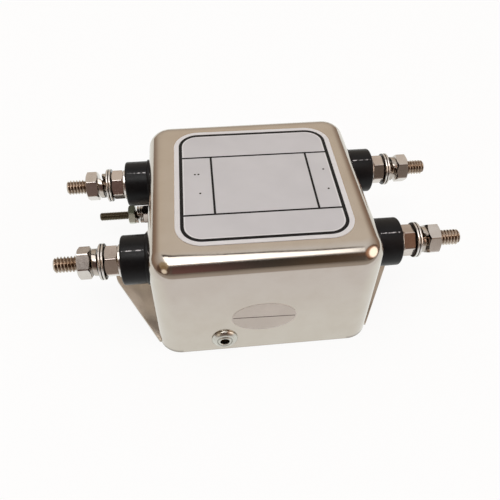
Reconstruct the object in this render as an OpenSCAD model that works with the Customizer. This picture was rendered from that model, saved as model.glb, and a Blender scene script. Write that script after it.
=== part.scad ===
// EMI line filter in a drawn steel can, with insulated stud terminals on two sides.
// The origin is the middle of the can's underside and +Z is up. The studs lie along X: the input
// side, with the ground stud, is at -X and the output side at +X. The riveted, stickered front is at -Y.

/* [Can] */
// Width of the can across its terminal sides
can_w = 54.8; // [53:0.2:66]
// Depth of the can from front to back
can_d = 55; // [54:0.5:66]
// Height of the can
can_h = 32.5; // [32:0.5:44]
// Thickness of the drawn sheet
can_wall = 0.6; // [0.4:0.1:0.8]
// Outer radius of the four upright corners
can_corner_r = 6; // [5:0.5:6]
// Outer radius of the drawn top edge
can_top_r = 4.6; // [2:0.1:4.8]

/* [Base plate] */
// Thickness of the base plate
plate_t = 1; // [0.8:0.1:1.5]
// Distance between the two mounting holes
mount_pitch = 67.5; // [66:0.5:90]
// Diameter of the mounting holes
mount_hole_d = 4.5; // [3.2:0.1:5.5]
// Radius of the round end of an ear
ear_tip_r = 6; // [4.5:0.1:8]
// Half the width of an ear where it leaves the can
ear_root_half = 23.8; // [16:0.1:24]
// Width of the tabs that fold up inside the can
tab_w = 14; // [9:0.5:16]
// Height of the tabs above the underside
tab_h = 9; // [8:0.5:12]
// Inner radius of the fold at a tab
fold_r = 0.6; // [0.3:0.1:1]

/* [Rivets] */
// Sideways distance of each rivet from the middle of its face
rivet_x = 10.7; // [8:0.1:12]
// Height of the rivets above the underside
rivet_z = 4.8; // [4.4:0.1:5.6]
// Diameter of the rivet body
rivet_d = 3.2; // [2.4:0.1:3.2]
// Diameter of the rivet's flange
rivet_flange_d = 6.5; // [5.5:0.1:7]
// Height of the domed flange
rivet_dome_h = 1.3; // [0.8:0.1:1.6]
// Thickness of the flange at its rim
rivet_rim_t = 0.4; // [0.2:0.1:0.6]
// Diameter of the hole that the mandrel leaves
rivet_hole_d = 2.3; // [1.4:0.1:2.3]
// Diameter of the head set inside the can
rivet_blind_d = 5; // [4:0.1:5.6]
// Depth of the head set inside the can
rivet_blind_h = 2.4; // [1.8:0.1:3]

/* [Terminals] */
// Distance between the two studs of one side
stud_pitch = 28.5; // [26:0.5:28.5]
// Depth of the studs' axes below the can's top
stud_drop = 10.5; // [10:0.1:11.5]
// Diameter of the moulded insulator
insulator_d = 12.1; // [10:0.1:12.5]
// Length that the insulator stands out of the can
insulator_l = 6.65; // [5:0.05:9]
// Radius of the insulator's outer edge
insulator_edge_r = 0.5; // [0.2:0.1:1]
// Extra radius of the thin rim where the insulator meets the can
insulator_rim = 0.35; // [0.1:0.05:0.4]
// Thickness of that rim
insulator_rim_t = 0.7; // [0.4:0.1:1.2]
// Diameter of the insulator's spigot in the can wall
spigot_d = 8; // [6:0.1:9]
// Diameter of the insulating bush inside the can
bush_d = 11.4; // [10:0.1:12]
// Thickness of the insulating bush
bush_t = 0.8; // [0.6:0.1:1.5]

/* [M4 hardware] */
// Thread diameter of the terminal studs
stud_d = 4; // [3.5:0.1:4]
// Thread pitch of the terminal studs
stud_thread = 0.7; // [0.5:0.05:0.8]
// Length of a stud under its head
stud_l = 24.6; // [24:0.1:32]
// Width across flats of nuts and stud heads
nut_af = 7; // [6:0.1:7.5]
// Height of a nut
nut_h = 3.2; // [2.4:0.1:3.4]
// Height of a stud's head
stud_head_h = 2.8; // [2:0.1:3.2]
// Outer diameter of the seat washer on the insulator
seat_washer_d = 8; // [7:0.1:9]
// Outer diameter of the flat washers
flat_washer_d = 9; // [8:0.1:10]
// Thickness of the seat washer
seat_washer_t = 0.75; // [0.5:0.05:0.9]
// Thickness of each of the two flat washers on a stud
washer_t = 0.7; // [0.5:0.05:0.9]
// Outer diameter of the split washer
split_washer_d = 6.7; // [6.6:0.1:7.6]
// Thickness of the split washer's section
split_washer_t = 1.2; // [0.8:0.1:1.2]
// Height at which the tightest split washer stands
split_height_min = 1.9; // [1.6:0.1:2.2]

/* [Ground stud] */
// Distance of the ground stud below the terminal stud above it
ground_drop = 11.6; // [10.6:0.1:12.6]
// Thread diameter of the ground stud
ground_d = 2.5; // [2:0.1:2.6]
// Thread pitch of the ground stud
ground_thread = 0.45; // [0.35:0.05:0.5]
// Length of the ground stud under its head
ground_l = 17.6; // [17:0.1:24]
// Width across flats of the ground nuts
ground_nut_af = 5; // [4.5:0.1:5.5]
// Height of the ground nuts
ground_nut_h = 2; // [1.6:0.1:2.2]
// Diameter of the washers on the ground stud
ground_washer_d = 5; // [4.5:0.1:5.6]
// Thickness of the washers on the ground stud
ground_washer_t = 0.5; // [0.3:0.05:0.6]
// Free height of the split washers on the ground stud
ground_split_height = 1.2; // [1.1:0.1:1.5]
// Thickness of those split washers' section
ground_split_t = 0.6; // [0.4:0.1:0.7]
// Diameter of the ground stud's head
ground_head_d = 5; // [4:0.1:5.5]
// Height of the ground stud's head
ground_head_h = 1.5; // [1:0.1:2]

/* [Label and sticker] */
// Width of the label on top
label_w = 42; // [36:0.5:43]
// Depth of the label on top
label_d = 43; // [36:0.5:44]
// How far the label sits off the middle, towards the output
label_offset = 0.5; // [0:0.1:0.6]
// Corner radius of the label
label_corner_r = 6.4; // [2:0.1:8]
// Thickness of label and sticker
label_t = 0.15; // [0.1:0.05:0.3]
// How far the label was stuck on askew, in degrees
label_skew = -0.65; // [-2:0.05:2]
// Width of the oval inspection sticker
sticker_w = 15.8; // [12:0.1:18]
// Height of the oval inspection sticker
sticker_h = 10.2; // [8:0.1:12]
// Height of the sticker's middle above the underside
sticker_z = 12.6; // [12:0.1:20]
// How far the sticker sits off the middle, towards the input
sticker_offset = 0.9; // [0:0.1:4]

/* [Choke] */
// Outer diameter of the ring core
core_d = 26; // [24:0.5:27]
// Inner diameter of the ring core
core_bore = 14; // [12.5:0.5:15]
// Height of the ring core
core_h = 10; // [8:0.5:11]
// Edge radius of the ring core
core_edge_r = 1; // [0.4:0.1:1.5]
// Diameter of the winding wire
wire_d = 1.2; // [0.8:0.1:1.3]
// Turns of each winding
choke_turns = 9; // [5:1:9]
// Angle that each winding covers
winding_arc = 130; // [110:1:136]

/* [Capacitors and resistor] */
// Thickness of an X capacitor
x_cap_t = 6; // [4:0.5:6.5]
// Length of an X capacitor
x_cap_l = 18; // [16:0.5:20]
// Height of an X capacitor
x_cap_h = 11; // [8:0.5:12]
// Lead spacing of an X capacitor
x_cap_pitch = 15; // [10:0.5:15]
// Diameter of a Y capacitor
y_cap_d = 9; // [7:0.5:10]
// Thickness of a Y capacitor
y_cap_t = 4; // [3:0.5:5]
// Diameter of the bleed resistor
resistor_d = 3; // [2:0.1:3.4]
// Length of the bleed resistor
resistor_l = 9; // [6:0.5:12]
// Diameter of the leads
lead_d = 0.7; // [0.5:0.1:0.8]

/* [Hidden] */
$fn = 64;
eps = 0.5;          // how far a cutting shape runs past the face that it cuts

// Colours that several pieces share
tin = [0.80, 0.78, 0.72];
copper = [0.72, 0.36, 0.16];

// Clearances
slip = 0.15;        // radial play of a washer or bush on its stud
thread_play = 0.02; // radial play between an engaged thread and its nut
sink_play = 0.1;    // how far a nut's countersink opens past the thread
hole_play = 0.05;   // radial play of a rivet or spigot in its hole
notch_play = 0.05;  // gap between the can's notched edge and an ear
sheet_play = 0.1;   // gap between the base plate's edge and the can
relief = 1;         // width of the relief cuts beside a tab
inner_play = 0.3;   // gap between wound wire and core
divider_play = 0.02; // gap between the divider's edges and the core's bore
liner_t = 0.3;      // insulating liner on the base plate
liner_margin = 2.5; // from the can's sides to the liner's ends
liner_gap = 1;      // from the folds of the tabs to the liner
tag_t = 0.4;        // sheet of the solder and ground tags
bevel = 0.4;        // bevel at a stud's end

// Shape of the standard hardware
nut_chamfer = 30;         // slope of the chamfer on a nut's faces, in degrees
nut_face_share = 0.95;    // of the width across flats that stays flat on a nut's faces
split_span = 342;         // angle that a split washer's wire covers
split_lean = 12;          // slant of the cut through it
split_steps = 40;         // pieces that its turn is drawn in
tooth_count = 12;         // notches round the toothed washer
tooth_gap = 0.6;          // width of each notch
tooth_reach = 0.3;        // how far the teeth stand out past a plain washer
tooth_depth = 0.7;        // how deep the notches are
sticker_end_share = 0.72; // radius of the oval's round ends, as a share of half its height

// Terminals, in the order line in, neutral in, line out, neutral out
TERMINALS = ["line_in", "neutral_in", "line_out", "neutral_out"];
side_x = [-1, -1, 1, 1];
side_y = [1, -1, 1, -1];
clamp_turn = [-33, -36, 34, 17];     // how far each clamp nut is turned
nut_turn = [-35, -6, 37, -17];       // how far each terminal nut is turned
split_turn = [-14, 150, 50, 25];     // where each split washer is split
split_slack = [0.35, 0, 0.45, 0.1];  // how much looser than the tightest each split washer is

// Heights of the studs' axes above the underside, and the top's radius, which ends above the bushes
stud_z = can_h - stud_drop;
ground_z = stud_z - ground_drop;
top_r = min(can_top_r, stud_drop - bush_d / 2);

// Levels along a terminal, measured outwards from the can's side
stud_seat = -(can_wall + bush_t + tag_t);
stud_tip = stud_seat + stud_l;
clamp_seat = insulator_l + seat_washer_t;
washer_seat = clamp_seat + nut_h;
split_seat = washer_seat + 2 * washer_t;
function split_height(i) = split_height_min + split_slack[i];
function nut_seat(i) = split_seat + split_height(i);

// Levels along the ground stud, outwards from the can's side
ground_seat = -(can_wall + tag_t + ground_washer_t);
ground_lock_seat = ground_washer_t;
ground_clamp_seat = ground_lock_seat + ground_split_height;
ground_washer_seat = ground_clamp_seat + ground_nut_h;
ground_split_seat = ground_washer_seat + 2 * ground_washer_t;
ground_nut_seat = ground_split_seat + ground_split_height;
ground_tip = ground_seat + ground_l;
ground_y = stud_pitch / 2;
ground_clamp_turn = 12;    // how far the ground stud's nuts are turned
ground_nut_turn = 6;
ground_lock_turn = 200;    // where its split washers are split
ground_split_turn = -70;

// Threads engaged in a nut have its minor diameter
function core_of(d) = d - 1.0825 * (d == stud_d ? stud_thread : ground_thread);

// Inside of the can
inner_w = can_w - 2 * can_wall;
inner_d = can_d - 2 * can_wall;
floor_z = plate_t + liner_t;
fold_outer_r = fold_r + plate_t;
tab_y = inner_d / 2 - fold_outer_r;

// Choke
core_mean_r = (core_d + core_bore) / 4;
turn_a = (core_d - core_bore) / 4 + wire_d / 2 + inner_play;
turn_b = core_h / 2 + wire_d / 2 + inner_play;
choke_z = floor_z + turn_b + wire_d / 2;
turn_squareness = 0.4; // 1 winds the wire in circles, less follows the core's corners
first_turn = 0.25;     // where on its first turn a winding starts
turn_steps = 20;
wire_sides = 8;
lead_steps = 10;
divider_t = 1;

// Tags, and where the wires are soldered to their inner faces
tag_face = can_w / 2 + stud_seat;
tag_d = nut_af + 1;        // ring of a solder tag, a little wider than the stud's head
tag_drop = 7;              // from the stud's axis down to the end of the tag
tag_end_z = stud_z - tag_drop;
tag_w = 3.4;
ground_tag_l = 5;
ground_tag_face = can_w / 2 - can_wall - tag_t;
stub = 0.5;                // straight end of a wire on a tag
tag_side = 1;              // how far beside a tag's middle a second and third wire end
tag_rise = 1.6;            // how far above the winding's wire the X capacitor's ends
ground_lead_low = 1;       // how far below and above its middle the ground tag's two wires end
ground_lead_high = 0.8;

// How strongly wires and leads follow the directions in which they start and end
wire_bend = 5;
wire_arrive = 6;
lead_bend = 4;
lead_arrive = 3;
y_near_leave = [-1, -5, -2]; // the Y capacitor beside the ground tag
y_far_leave = [-5, 9, 0];    // the one across the can from it

// Capacitors and resistor
x_cap_gap = 3.4;        // from the can's side to an X capacitor
y_cap_gap = [2.6, 5.5]; // from the can's side and end to a Y capacitor
resistor_gap = 4.8;     // from the can's side to the resistor's axis
x_cap_x = inner_w / 2 - x_cap_t / 2 - x_cap_gap;
y_cap_x = -(inner_w / 2 - y_cap_d / 2 - y_cap_gap.x);
y_cap_y = inner_d / 2 - y_cap_t / 2 - y_cap_gap.y;
resistor_x = inner_w / 2 - resistor_gap;
resistor_z = max(tag_end_z, floor_z + x_cap_h + resistor_d / 2 + inner_play);
y_foot = [y_cap_d / 4, 0, y_cap_d / 3]; // where a lead leaves a Y capacitor, from its middle
lead_sides = 6;

function per_terminal(prefix) = [for (t = TERMINALS) str(prefix, "_", t)];

// ---------------------------------------------------------------- helpers

// A rectangle with round corners, centred
module rounded_rect(w, d, r) {
    square([w - 2 * r, d], center = true);
    square([w, d - 2 * r], center = true);
    for (x = [-1, 1], y = [-1, 1])
        translate([x * (w / 2 - r), y * (d / 2 - r)]) circle(r = r);
}

// A ring that lies on z = 0
module washer(d, bore, t) {
    difference() {
        cylinder(d = d, h = t);
        translate([0, 0, -eps]) cylinder(d = bore, h = t + 2 * eps);
    }
}

// A hexagon with both faces chamfered, standing on z = 0, with a corner on +X
module hexagon(af, h) {
    corner_r = af / sqrt(3);
    face_r = af / 2 * nut_face_share;
    drop = (corner_r - face_r) * tan(nut_chamfer);
    intersection() {
        cylinder(r = corner_r, h = h, $fn = 6);
        rotate_extrude()
            polygon([[0, 0], [face_r, 0], [corner_r, drop], [corner_r, h - drop], [face_r, h], [0, h]]);
    }
}

// A hexagon nut, drilled to its thread's minor diameter and countersunk on both faces
module hex_nut(af, h, d) {
    bore_r = core_of(d) / 2 + thread_play;
    sink_r = d / 2 + sink_play;
    sink = sink_r - bore_r;
    difference() {
        hexagon(af, h);
        translate([0, 0, -eps]) cylinder(r = bore_r, h = h + 2 * eps);
        cylinder(r1 = sink_r, r2 = bore_r, h = sink);
        translate([0, 0, h - sink]) cylinder(r1 = bore_r, r2 = sink_r, h = sink);
    }
}

// A threaded rod from z = from to z = to, turned down to the minor diameter inside each nut,
// where nuts = [[seat, height], ...] from the inside outwards
module threaded_rod(d, from, to, nuts) {
    difference() {
        union() {
            translate([0, 0, from]) cylinder(d = d, h = to - from - bevel);
            translate([0, 0, to - bevel]) cylinder(d1 = d, d2 = d - 2 * bevel, h = bevel);
        }
        for (n = nuts) translate([0, 0, n[0]]) washer(d + 2 * eps, core_of(d), n[1]);
    }
}

// Faces of a swept shape: last + 1 rings of n points, joined by triangles and closed at both ends
function tube_faces(last, n) = concat(
    [for (k = [2 : n - 1]) [k, k - 1, 0]],
    [for (i = [0 : last - 1], k = [0 : n - 1], half = [0, 1])
        let (a = i * n + k, b = i * n + (k + 1) % n) half == 0 ? [a, b, b + n] : [a, b + n, a + n]],
    [for (k = [2 : n - 1]) [last * n, last * n + k - 1, last * n + k]]);

// One turn of square wire, sheared open at the split, that stands on z = 0
module split_washer(d, bore, t, free_h, turn) {
    start = turn + (360 - split_span) / 2;
    rings = [for (i = [0 : split_steps])
        let (a = start + split_span * i / split_steps, b = a + split_lean, z = (free_h - t) * i / split_steps)
        [[bore / 2, a, z], [d / 2, a, z], [d / 2, b, z + t], [bore / 2, b, z + t]]];
    points = [for (ring = rings, q = ring) [q[0] * cos(q[1]), q[0] * sin(q[1]), q[2]]];
    polyhedron(points, tube_faces(split_steps, 4));
}

function unit(v) = v / norm(v);
function bezier(p, t) =
    pow(1 - t, 3) * p[0] + 3 * t * pow(1 - t, 2) * p[1] + 3 * t * t * (1 - t) * p[2] + pow(t, 3) * p[3];
function curve(p, steps) = [for (i = [0 : steps]) bezier(p, i / steps)];

// A round wire along a path, where side is a direction that the path never follows
module wire(path, side, d, sides) {
    last = len(path) - 1;
    rings = [for (i = [0 : last])
        let (t = unit(path[min(i + 1, last)] - path[max(i - 1, 0)]), u = unit(cross(t, side[i])), v = cross(u, t))
        [for (k = [0 : sides - 1]) path[i] + d / 2 * (u * cos(360 * k / sides) + v * sin(360 * k / sides))]];
    polyhedron([for (ring = rings, q = ring) q], tube_faces(last, sides));
}

// Turns its children so that their +Z leaves the can at terminal i, from the can's side, with +X up
module at_terminal(i) {
    translate([side_x[i] * can_w / 2, side_y[i] * stud_pitch / 2, stud_z])
        rotate([0, side_x[i] * 90, 0]) rotate([0, 0, side_x[i] > 0 ? 180 : 0]) children();
}

// The same for the ground stud
module at_ground() {
    translate([-can_w / 2, ground_y, ground_z]) rotate([0, -90, 0]) children();
}

// The same for the rivets, whose +Z leaves the front or, turned half round, the back
module at_rivet(back) {
    rotate([0, 0, back ? 180 : 0]) translate([-rivet_x, -can_d / 2, rivet_z]) rotate([90, 0, 0]) children();
}

// ---------------------------------------------------------------- sheet metal

// Section of the can's wall and top edge, from a corner's centre line outwards
module can_section() {
    inner_r = top_r - can_wall;
    difference() {
        square([can_corner_r, can_h]);
        translate([can_corner_r - top_r, can_h - top_r])
            difference() {
                square(top_r + eps);
                circle(r = top_r);
            }
        difference() {
            translate([-eps, -eps]) square([can_corner_r - can_wall + eps, can_h - can_wall + eps]);
            translate([can_corner_r - top_r, can_h - top_r])
                difference() {
                    square(inner_r + eps);
                    circle(r = inner_r);
                }
        }
    }
}

// Drawn shell: the section turned round each corner and drawn along each side
module can_shell() {
    flat_w = can_w - 2 * can_corner_r;
    flat_d = can_d - 2 * can_corner_r;
    for (k = [0 : 3]) {
        x = (k == 0 || k == 3 ? 1 : -1) * flat_w / 2;
        y = (k < 2 ? 1 : -1) * flat_d / 2;
        run = k % 2 == 0 ? flat_d : flat_w;
        translate([x, y, 0]) rotate([0, 0, 90 * k]) {
            rotate_extrude(angle = 90) can_section();
            rotate([90, 0, 0]) linear_extrude(run) can_section();
        }
    }
    translate([-flat_w / 2, -flat_d / 2, can_h - can_wall]) cube([flat_w, flat_d, can_wall]);
}

module can() {
    notch_half = ear_root_half + 2 * notch_play;
    color([0.72, 0.67, 0.61]) difference() {
        can_shell();
        for (i = [0 : 3]) at_terminal(i)
            translate([0, 0, -can_wall - eps]) cylinder(d = spigot_d + 2 * hole_play, h = can_wall + 2 * eps);
        at_ground() translate([0, 0, -can_wall - eps])
            cylinder(d = ground_d + 2 * slip, h = can_wall + 2 * eps);
        for (back = [false, true]) at_rivet(back) translate([0, 0, -can_wall - eps])
            cylinder(d = rivet_d + 2 * hole_play, h = can_wall + 2 * eps);
        for (x = [-can_w, can_w / 2 - can_corner_r]) translate([x, -notch_half, -eps])
            cube([can_w / 2 + can_corner_r, 2 * notch_half, plate_t + notch_play + eps]);
    }
}

// Outline of one ear at +X, whose edges run from its root to touch its round end
module ear_outline() {
    root = [can_w / 2, ear_root_half];
    tip = [mount_pitch / 2, 0];
    away = norm(root - tip);
    lean = atan2(root.y, root.x - tip.x) - acos(ear_tip_r / away);
    touch = tip + ear_tip_r * [cos(lean), sin(lean)];
    inside = can_w / 2 - can_corner_r;
    polygon([[inside, -root.y], [root.x, -root.y], [touch.x, -touch.y],
             [touch.x, touch.y], [root.x, root.y], [inside, root.y]]);
    translate(tip) circle(r = ear_tip_r);
}

// Section of a tab: the fold and the upright, seen along X, with the flat of the plate at +X
module tab_section() {
    translate([fold_outer_r, fold_outer_r]) intersection() {
        difference() {
            circle(r = fold_outer_r);
            circle(r = fold_r);
        }
        translate([-fold_outer_r, -fold_outer_r]) square(fold_outer_r);
    }
    translate([0, fold_outer_r]) square([plate_t, tab_h - fold_outer_r]);
}

module base_plate() {
    color([0.70, 0.65, 0.58]) difference() {
        union() {
            linear_extrude(plate_t) difference() {
                union() {
                    rounded_rect(inner_w - 2 * sheet_play, inner_d - 2 * sheet_play,
                        can_corner_r - can_wall - sheet_play);
                    ear_outline();
                    mirror([1, 0]) ear_outline();
                }
                for (s = [-1, 1]) translate([s * rivet_x, s * (tab_y + can_wall + eps)])
                    square([tab_w + 2 * relief, 2 * (can_wall + eps)], center = true);
                for (s = [-1, 1]) translate([s * rivet_x, s * (tab_y + fold_outer_r)])
                    square([tab_w + 2 * relief, 2 * fold_outer_r], center = true);
            }
            for (turn = [0, 180]) rotate([0, 0, turn]) translate([-rivet_x - tab_w / 2, -inner_d / 2, 0])
                rotate([90, 0, 90]) linear_extrude(tab_w) tab_section();
        }
        for (x = [-1, 1]) translate([x * mount_pitch / 2, 0, -eps])
            cylinder(d = mount_hole_d, h = plate_t + 2 * eps);
        for (back = [false, true]) at_rivet(back) translate([0, 0, -can_wall - plate_t - eps])
            cylinder(d = rivet_d + 2 * hole_play, h = plate_t + 2 * eps);
    }
}

// Blind rivet seen from outside: a domed flange, a body through both sheets and a set head
module rivet(back) {
    grip = can_wall + plate_t;
    swell = rivet_dome_h - rivet_rim_t;
    dome_r = (pow(rivet_flange_d / 2, 2) + swell * swell) / (2 * swell);
    color([0.66, 0.63, 0.58]) at_rivet(back) difference() {
        union() {
            intersection() {
                cylinder(d = rivet_flange_d, h = rivet_dome_h);
                translate([0, 0, rivet_dome_h - dome_r]) sphere(r = dome_r);
            }
            translate([0, 0, -grip]) cylinder(d = rivet_d, h = grip);
            translate([0, 0, -grip - rivet_blind_h / 2]) cylinder(d = rivet_blind_d, h = rivet_blind_h / 2);
            translate([0, 0, -grip - rivet_blind_h])
                cylinder(d1 = rivet_d, d2 = rivet_blind_d, h = rivet_blind_h / 2);
        }
        translate([0, 0, -grip - rivet_blind_h / 2])
            cylinder(d = rivet_hole_d, h = grip + rivet_blind_h / 2 + rivet_dome_h + eps);
    }
}

// ---------------------------------------------------------------- terminals

module insulator(i) {
    color([0.12, 0.12, 0.13]) at_terminal(i) difference() {
        union() {
            rotate_extrude() difference() {
                square([insulator_d / 2, insulator_l]);
                translate([insulator_d / 2 - insulator_edge_r, insulator_l - insulator_edge_r]) difference() {
                    square(insulator_edge_r + eps);
                    circle(r = insulator_edge_r);
                }
            }
            cylinder(d = insulator_d + 2 * insulator_rim, h = insulator_rim_t);
            translate([0, 0, -can_wall]) cylinder(d = spigot_d, h = can_wall);
        }
        translate([0, 0, -can_wall - eps]) cylinder(d = stud_d + 2 * slip, h = can_wall + insulator_l + 2 * eps);
    }
}

module inner_bush(i) {
    color([0.16, 0.16, 0.17]) at_terminal(i) translate([0, 0, -can_wall - bush_t])
        washer(bush_d, stud_d + 2 * slip, bush_t);
}

// Ring under the stud's head, with a tail that hangs down for the wires
module solder_tag(i) {
    color(tin) at_terminal(i) translate([0, 0, stud_seat]) difference() {
        union() {
            cylinder(d = tag_d, h = tag_t);
            translate([-tag_drop, -tag_w / 2, 0]) cube([tag_drop, tag_w, tag_t]);
            translate([-tag_drop, 0, 0]) cylinder(d = tag_w, h = tag_t);
        }
        translate([0, 0, -eps]) cylinder(d = stud_d + 2 * slip, h = tag_t + 2 * eps);
    }
}

module stud(i) {
    color([0.72, 0.66, 0.60]) at_terminal(i) {
        threaded_rod(stud_d, stud_seat, stud_tip, [[clamp_seat, nut_h], [nut_seat(i), nut_h]]);
        translate([0, 0, stud_seat - stud_head_h]) hexagon(nut_af, stud_head_h);
    }
}

module seat_washers() {
    color([0.78, 0.76, 0.72]) for (i = [0 : 3]) at_terminal(i) translate([0, 0, insulator_l])
        washer(seat_washer_d, stud_d + 2 * slip, seat_washer_t);
}

module clamp_nut(i) {
    color([0.70, 0.66, 0.62]) at_terminal(i) translate([0, 0, clamp_seat])
        rotate([0, 0, clamp_turn[i]]) hex_nut(nut_af, nut_h, stud_d);
}

// The pair of flat washers that grips a ring terminal, lying together while none is fitted
module flat_washers(i) {
    color([0.80, 0.78, 0.75]) at_terminal(i) for (k = [0, 1])
        translate([0, 0, washer_seat + k * washer_t]) washer(flat_washer_d, stud_d + 2 * slip, washer_t);
}

module terminal_split_washer(i) {
    color([0.74, 0.71, 0.68]) at_terminal(i) translate([0, 0, split_seat])
        split_washer(split_washer_d, stud_d + 2 * slip, split_washer_t, split_height(i), split_turn[i]);
}

module terminal_nut(i) {
    color([0.74, 0.70, 0.66]) at_terminal(i) translate([0, 0, nut_seat(i)])
        rotate([0, 0, nut_turn[i]]) hex_nut(nut_af, nut_h, stud_d);
}

// ---------------------------------------------------------------- ground stud

module ground_stud() {
    color([0.50, 0.46, 0.36]) at_ground() {
        threaded_rod(ground_d, ground_seat, ground_tip,
            [[ground_clamp_seat, ground_nut_h], [ground_nut_seat, ground_nut_h]]);
        translate([0, 0, ground_seat - ground_head_h]) cylinder(d = ground_head_d, h = ground_head_h);
    }
}

// Ring under the head with a tail that points to the middle of the can
module ground_tag() {
    color(tin) at_ground() translate([0, 0, -can_wall - tag_t]) difference() {
        union() {
            cylinder(d = ground_washer_d, h = tag_t);
            translate([-tag_w / 2, -ground_tag_l, 0]) cube([tag_w, ground_tag_l, tag_t]);
        }
        translate([0, 0, -eps]) cylinder(d = ground_d + 2 * slip, h = tag_t + 2 * eps);
    }
}

// Washer with a rim of teeth, which bites through the plating of the tag
module ground_toothed_washer() {
    rim_r = ground_washer_d / 2 + tooth_reach;
    color([0.70, 0.68, 0.64]) at_ground() translate([0, 0, ground_seat]) difference() {
        washer(2 * rim_r, ground_d + 2 * slip, ground_washer_t);
        for (k = [0 : tooth_count - 1]) rotate([0, 0, 360 * k / tooth_count])
            translate([rim_r - tooth_depth, -tooth_gap / 2, -eps])
                cube([tooth_depth + eps, tooth_gap, ground_washer_t + 2 * eps]);
    }
}

module ground_washer(from) {
    color([0.66, 0.64, 0.58]) at_ground() translate([0, 0, from])
        washer(ground_washer_d, ground_d + 2 * slip, ground_washer_t);
}

module ground_split(from, turn) {
    color([0.60, 0.58, 0.52]) at_ground() translate([0, 0, from])
        split_washer(ground_washer_d, ground_d + 2 * slip, ground_split_t, ground_split_height, turn);
}

module ground_hex_nut(from, turn) {
    color([0.62, 0.61, 0.52]) at_ground() translate([0, 0, from]) rotate([0, 0, turn])
        hex_nut(ground_nut_af, ground_nut_h, ground_d);
}

// ---------------------------------------------------------------- label and sticker

module top_label() {
    color([0.80, 0.79, 0.80]) translate([label_offset, 0, can_h]) rotate([0, 0, label_skew])
        linear_extrude(label_t) rounded_rect(label_w, label_d, label_corner_r);
}

// An oval of two long arcs and two round ends
module inspection_sticker() {
    end_r = sticker_h / 2 * sticker_end_share;
    end_x = sticker_w / 2 - end_r;
    long_r = (end_x * end_x + pow(sticker_h / 2, 2) - end_r * end_r) / (sticker_h - 2 * end_r);
    color([0.76, 0.74, 0.74]) translate([-sticker_offset, -can_d / 2, sticker_z]) rotate([90, 0, 0])
        linear_extrude(label_t) {
            intersection() {
                translate([0, sticker_h / 2 - long_r]) circle(r = long_r);
                translate([0, long_r - sticker_h / 2]) circle(r = long_r);
                square([2 * end_x * long_r / (long_r - end_r), sticker_h + 1], center = true);
            }
            for (x = [-end_x, end_x]) translate([x, 0]) circle(r = end_r);
        }
}

// ---------------------------------------------------------------- inside the can

module insulating_liner() {
    color([0.86, 0.82, 0.66]) translate([0, 0, plate_t]) linear_extrude(liner_t)
        rounded_rect(inner_w - 2 * liner_margin, 2 * (tab_y - liner_gap), can_corner_r - can_wall);
}

module choke_core() {
    half_h = core_h / 2;
    half_w = (core_d - core_bore) / 4;
    color([0.20, 0.34, 0.26]) translate([0, 0, choke_z]) rotate_extrude()
        translate([core_mean_r, 0]) rounded_rect(2 * half_w, 2 * half_h, core_edge_r);
}

// Plate between the windings, whose four edges touch the core's bore
module choke_divider() {
    half_l = sqrt(pow(core_bore / 2 - divider_play, 2) - pow(divider_t / 2, 2));
    color([0.90, 0.88, 0.80]) translate([-half_l, -divider_t / 2, floor_z])
        cube([2 * half_l, divider_t, 2 * turn_b + wire_d]);
}

// A point of the winding after t turns: a squared loop round the core that creeps along it
function flatten(v) = sign(v) * pow(abs(v), turn_squareness);
function winding_angle(t) = 90 + winding_arc * (t / choke_turns - 0.5);
function winding_point(t) =
    let (r = core_mean_r + turn_a * flatten(cos(360 * t)), a = winding_angle(t))
    [r * cos(a), r * sin(a), choke_z + turn_b * flatten(sin(360 * t))];
function along(a) = [-sin(a), cos(a), 0];

// The winding over the half of the core at +Y, with its ends led to the solder tags
module winding() {
    start = winding_point(first_turn);
    end = winding_point(choke_turns);
    inwards = -unit([start.x, start.y, 0]);
    tag_in = [-tag_face, stud_pitch / 2, tag_end_z];
    tag_out = [tag_face, stud_pitch / 2, tag_end_z];
    turns = [for (k = [1 : (choke_turns - first_turn) * turn_steps - 1]) first_turn + k / turn_steps];
    lead_in = route(tag_out, [-wire_bend, 0, 0], start, wire_bend * inwards);
    lead_out = route(end, [0, 0, wire_bend], tag_in, [-wire_arrive, 0, 0]);
    path = concat(lead_in, [for (t = turns) winding_point(t)], lead_out);
    side = concat([for (p = lead_in) along(winding_angle(first_turn))], [for (t = turns) along(winding_angle(t))],
        [for (p = lead_out) along(winding_angle(choke_turns))]);
    wire(path, side, wire_d, wire_sides);
}

module winding_line() color(copper) winding();
module winding_neutral() color(copper) mirror([0, 1, 0]) winding();

// Points of a lead from one place to another, which leaves and arrives in the given directions
function route(from, leave, to, arrive) = concat([from],
    curve([from + stub * unit(leave), from + leave, to - arrive, to - stub * unit(arrive)], lead_steps), [to]);

module lead(from, leave, to, arrive) {
    path = route(from, leave, to, arrive);
    wire(path, [for (p = path) cross(leave, arrive)], lead_d, lead_sides);
}

// A box capacitor that stands on the liner, with its leads bent over to the tags above the winding's
module x_capacitor(sx) {
    top = floor_z + x_cap_h;
    color([0.86, 0.76, 0.22]) translate([sx * x_cap_x - x_cap_t / 2, -x_cap_l / 2, floor_z])
        cube([x_cap_t, x_cap_l, x_cap_h]);
    color(tin) for (sy = [-1, 1])
        lead([sx * x_cap_x, sy * x_cap_pitch / 2, top], [0, 0, lead_bend],
             [sx * tag_face, sy * (stud_pitch / 2 - tag_side), tag_end_z + tag_rise], [sx * lead_arrive, 0, 0]);
}

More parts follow.
